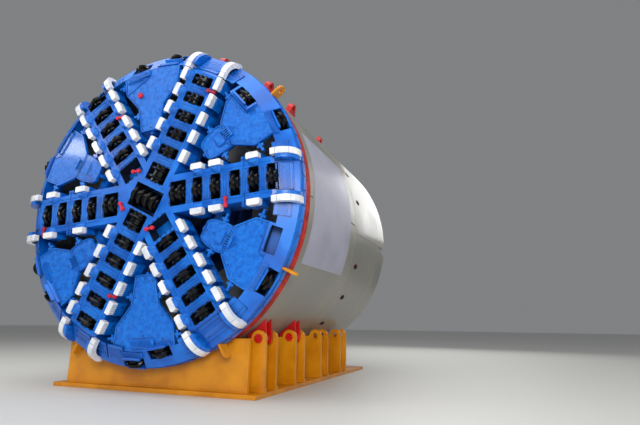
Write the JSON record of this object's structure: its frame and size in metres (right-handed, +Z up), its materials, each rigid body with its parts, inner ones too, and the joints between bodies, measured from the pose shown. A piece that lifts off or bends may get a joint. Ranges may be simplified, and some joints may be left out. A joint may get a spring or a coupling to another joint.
{
  "type": "tunnel boring machine shield",
  "caption": "Round shield tunnel boring machine: spoked cutterhead with disc cutters and scrapers, steel shield with thrust cylinders, erector and screw conveyor, on a cradle.",
  "frame": {"origin": "on the underside of the cradle, below the middle of the shield's front edge", "axes": "+Y from the cutterhead back to the tail along the shield, +Z up, +X to the right for someone who faces the cutterhead"},
  "size_m": [8.1706, 9.4399, 8.8598],
  "materials": {
    "shield_paint": "glossy cream-grey enamel",
    "ring_paint": "dull red over welded hard facing",
    "brush_wire": "packed spring wire",
    "machine_paint": "cream enamel",
    "motor_paint": "blue enamel",
    "cylinder_paint": "orange-yellow enamel",
    "conveyor_paint": "yellow enamel",
    "erector_paint": "orange-yellow enamel",
    "lug_paint": "bright red enamel",
    "cradle_paint": "orange-yellow enamel",
    "head_paint": "azure enamel",
    "inner_paint": "shaded blue enamel",
    "scraper_paint": "white enamel",
    "cover_plastic": "crimson protective cover",
    "cutter_steel": "black oiled tool steel",
    "rod_chrome": "hard chrome"
  },
  "bodies": {
    "shield_on_cradle": {"front_shield": "shield_paint", "cutting_ring": "ring_paint", "middle_shield": "shield_paint", "tail_shield": "shield_paint", "tail_brushes": "brush_wire", "probe_pipes": "lug_paint", "bulkhead": "machine_paint", "main_drive": "machine_paint", "drive_motors": "motor_paint", "work_platforms": "conveyor_paint", "thrust_ring": "machine_paint", "thrust_barrels": "cylinder_paint", "screw_casing": "conveyor_paint", "screw_drive": "motor_paint", "discharge_chute": "conveyor_paint", "erector_mount": "machine_paint", "manlock": "machine_paint", "lifting_lugs": "lug_paint", "shield_feet": "lug_paint", "foot_pins": "lug_paint", "cradle_base": "cradle_paint", "cradle_saddles": "cradle_paint"},
    "cutterhead": {"head_spokes": "head_paint", "head_rim": "head_paint", "rim_wear_band": "head_paint", "head_panels": "head_paint", "gauge_cases": "head_paint", "drive_arms": "inner_paint", "centre_joint": "machine_paint", "scraper_blades": "scraper_paint", "scraper_backs": "head_paint", "edge_scrapers": "scraper_paint", "nozzle_covers": "cover_plastic", "head_lugs": "cradle_paint", "cutter_shafts": "cutter_steel"},
    "cutters_spoke_1": {"cutters_spoke_1": "cutter_steel"},
    "cutters_spoke_2": {"cutters_spoke_2": "cutter_steel"},
    "cutters_spoke_3": {"cutters_spoke_3": "cutter_steel"},
    "cutters_spoke_4": {"cutters_spoke_4": "cutter_steel"},
    "cutters_spoke_5": {"cutters_spoke_5": "cutter_steel"},
    "cutters_spoke_6": {"cutters_spoke_6": "cutter_steel"},
    "cutters_centre": {"cutters_centre": "cutter_steel"},
    "gauge_cutter_1": {"gauge_cutter_1": "cutter_steel"},
    "gauge_cutter_2": {"gauge_cutter_2": "cutter_steel"},
    "gauge_cutter_3": {"gauge_cutter_3": "cutter_steel"},
    "gauge_cutter_4": {"gauge_cutter_4": "cutter_steel"},
    "gauge_cutter_5": {"gauge_cutter_5": "cutter_steel"},
    "gauge_cutter_6": {"gauge_cutter_6": "cutter_steel"},
    "gauge_cutter_7": {"gauge_cutter_7": "cutter_steel"},
    "gauge_cutter_8": {"gauge_cutter_8": "cutter_steel"},
    "gauge_cutter_9": {"gauge_cutter_9": "cutter_steel"},
    "gauge_cutter_10": {"gauge_cutter_10": "cutter_steel"},
    "thrust_rods_right": {"thrust_rods_right": "rod_chrome"},
    "thrust_rods_top": {"thrust_rods_top": "rod_chrome"},
    "thrust_rods_left": {"thrust_rods_left": "rod_chrome"},
    "thrust_rods_bottom": {"thrust_rods_bottom": "rod_chrome"},
    "erector_rotor": {"erector_rotor": "erector_paint"},
    "erector_head": {"erector_head": "erector_paint"},
    "manlock_door": {"manlock_door": "machine_paint"},
    "discharge_gate": {"discharge_gate": "conveyor_paint"}
  },
  "joints": [
    {"name": "cutterhead_turn", "type": "hinge", "parent": "shield_on_cradle", "child": "cutterhead", "pos_m": [0, 0, 4.6], "axis": [0, 1, 0], "continuous": true},
    {"name": "cutters_spoke_1_turn", "type": "hinge", "parent": "cutterhead", "child": "cutters_spoke_1", "pos_m": [0.87046, -0.6, 6.40064], "axis": [0.4352, 0, 0.9003], "continuous": true},
    {"name": "cutters_spoke_2_turn", "type": "hinge", "parent": "cutterhead", "child": "cutters_spoke_2", "pos_m": [1.99463, -0.6, 4.74648], "axis": [0.9973, 0, 0.0732], "continuous": true},
    {"name": "cutters_spoke_3_turn", "type": "hinge", "parent": "cutterhead", "child": "cutters_spoke_3", "pos_m": [1.12417, -0.6, 2.94584], "axis": [0.5621, 0, -0.8271], "continuous": true},
    {"name": "cutters_spoke_4_turn", "type": "hinge", "parent": "cutterhead", "child": "cutters_spoke_4", "pos_m": [-0.87046, -0.6, 2.79936], "axis": [-0.4352, 0, -0.9003], "continuous": true},
    {"name": "cutters_spoke_5_turn", "type": "hinge", "parent": "cutterhead", "child": "cutters_spoke_5", "pos_m": [-1.99463, -0.6, 4.45352], "axis": [-0.9973, 0, -0.0732], "continuous": true},
    {"name": "cutters_spoke_6_turn", "type": "hinge", "parent": "cutterhead", "child": "cutters_spoke_6", "pos_m": [-1.12417, -0.6, 6.25416], "axis": [-0.5621, 0, 0.8271], "continuous": true},
    {"name": "cutters_centre_turn", "type": "hinge", "parent": "cutterhead", "child": "cutters_centre", "pos_m": [0, -0.6, 4.6], "axis": [0.9003, 0, -0.4352], "continuous": true},
    {"name": "gauge_cutter_1_turn", "type": "hinge", "parent": "cutterhead", "child": "gauge_cutter_1", "pos_m": [-0.66872, -0.41111, 8.27973], "axis": [-0.1409, 0.6157, 0.7753], "continuous": true},
    {"name": "gauge_cutter_2_turn", "type": "hinge", "parent": "cutterhead", "child": "gauge_cutter_2", "pos_m": [0.38039, -0.35611, 8.41106], "axis": [0.0638, 0.766, 0.6396], "continuous": true},
    {"name": "gauge_cutter_3_turn", "type": "hinge", "parent": "cutterhead", "child": "gauge_cutter_3", "pos_m": [2.61323, -0.55778, 6.92831], "axis": [0.6923, 0.3746, 0.6168], "continuous": true},
    {"name": "gauge_cutter_4_turn", "type": "hinge", "parent": "cutterhead", "child": "gauge_cutter_4", "pos_m": [3.4365, -0.35611, 6.29097], "axis": [0.5767, 0.766, 0.2838], "continuous": true},
    {"name": "gauge_cutter_5_turn", "type": "hinge", "parent": "cutterhead", "child": "gauge_cutter_5", "pos_m": [3.24092, -0.35611, 2.55908], "axis": [0.5439, 0.766, -0.3425], "continuous": true},
    {"name": "gauge_cutter_6_turn", "type": "hinge", "parent": "cutterhead", "child": "gauge_cutter_6", "pos_m": [0.69209, -0.46, 1.00603], "axis": [0.1604, 0.5299, -0.8327], "continuous": true},
    {"name": "gauge_cutter_7_turn", "type": "hinge", "parent": "cutterhead", "child": "gauge_cutter_7", "pos_m": [-0.08689, -0.35611, 0.77099], "axis": [-0.0146, 0.766, -0.6426], "continuous": true},
    {"name": "gauge_cutter_8_turn", "type": "hinge", "parent": "cutterhead", "child": "gauge_cutter_8", "pos_m": [-2.8208, -0.47222, 2.29941], "axis": [-0.6572, 0.5299, -0.536], "continuous": true},
    {"name": "gauge_cutter_9_turn", "type": "hinge", "parent": "cutterhead", "child": "gauge_cutter_9", "pos_m": [-3.49888, -0.35611, 3.0422], "axis": [-0.5872, 0.766, -0.2614], "continuous": true},
    {"name": "gauge_cutter_10_turn", "type": "hinge", "parent": "cutterhead", "child": "gauge_cutter_10", "pos_m": [-3.61254, -0.35611, 5.87218], "axis": [-0.6063, 0.766, 0.2135], "continuous": true},
    {"name": "thrust_rods_right_stroke", "type": "slide", "parent": "shield_on_cradle", "child": "thrust_rods_right", "axis": [0, 1, 0], "range_m": [0, 2]},
    {"name": "thrust_rods_top_stroke", "type": "slide", "parent": "shield_on_cradle", "child": "thrust_rods_top", "axis": [0, 1, 0], "range_m": [0, 2]},
    {"name": "thrust_rods_left_stroke", "type": "slide", "parent": "shield_on_cradle", "child": "thrust_rods_left", "axis": [0, 1, 0], "range_m": [0, 2]},
    {"name": "thrust_rods_bottom_stroke", "type": "slide", "parent": "shield_on_cradle", "child": "thrust_rods_bottom", "axis": [0, 1, 0], "range_m": [0, 2]},
    {"name": "erector_turn", "type": "hinge", "parent": "shield_on_cradle", "child": "erector_rotor", "pos_m": [0, 6.3, 4.6], "axis": [0, 1, 0], "range_deg": [-200, 200]},
    {"name": "erector_reach", "type": "slide", "parent": "erector_rotor", "child": "erector_head", "axis": [0, 0, -1], "range_m": [0, 0.7]},
    {"name": "manlock_door_swing", "type": "hinge", "parent": "shield_on_cradle", "child": "manlock_door", "pos_m": [-0.42, 3.312, 7.45], "axis": [0, 0, 1], "range_deg": [0, 110]},
    {"name": "discharge_gate_slide", "type": "slide", "parent": "shield_on_cradle", "child": "discharge_gate", "axis": [1, 0, 0], "range_m": [0, 0.6]}
  ]
}
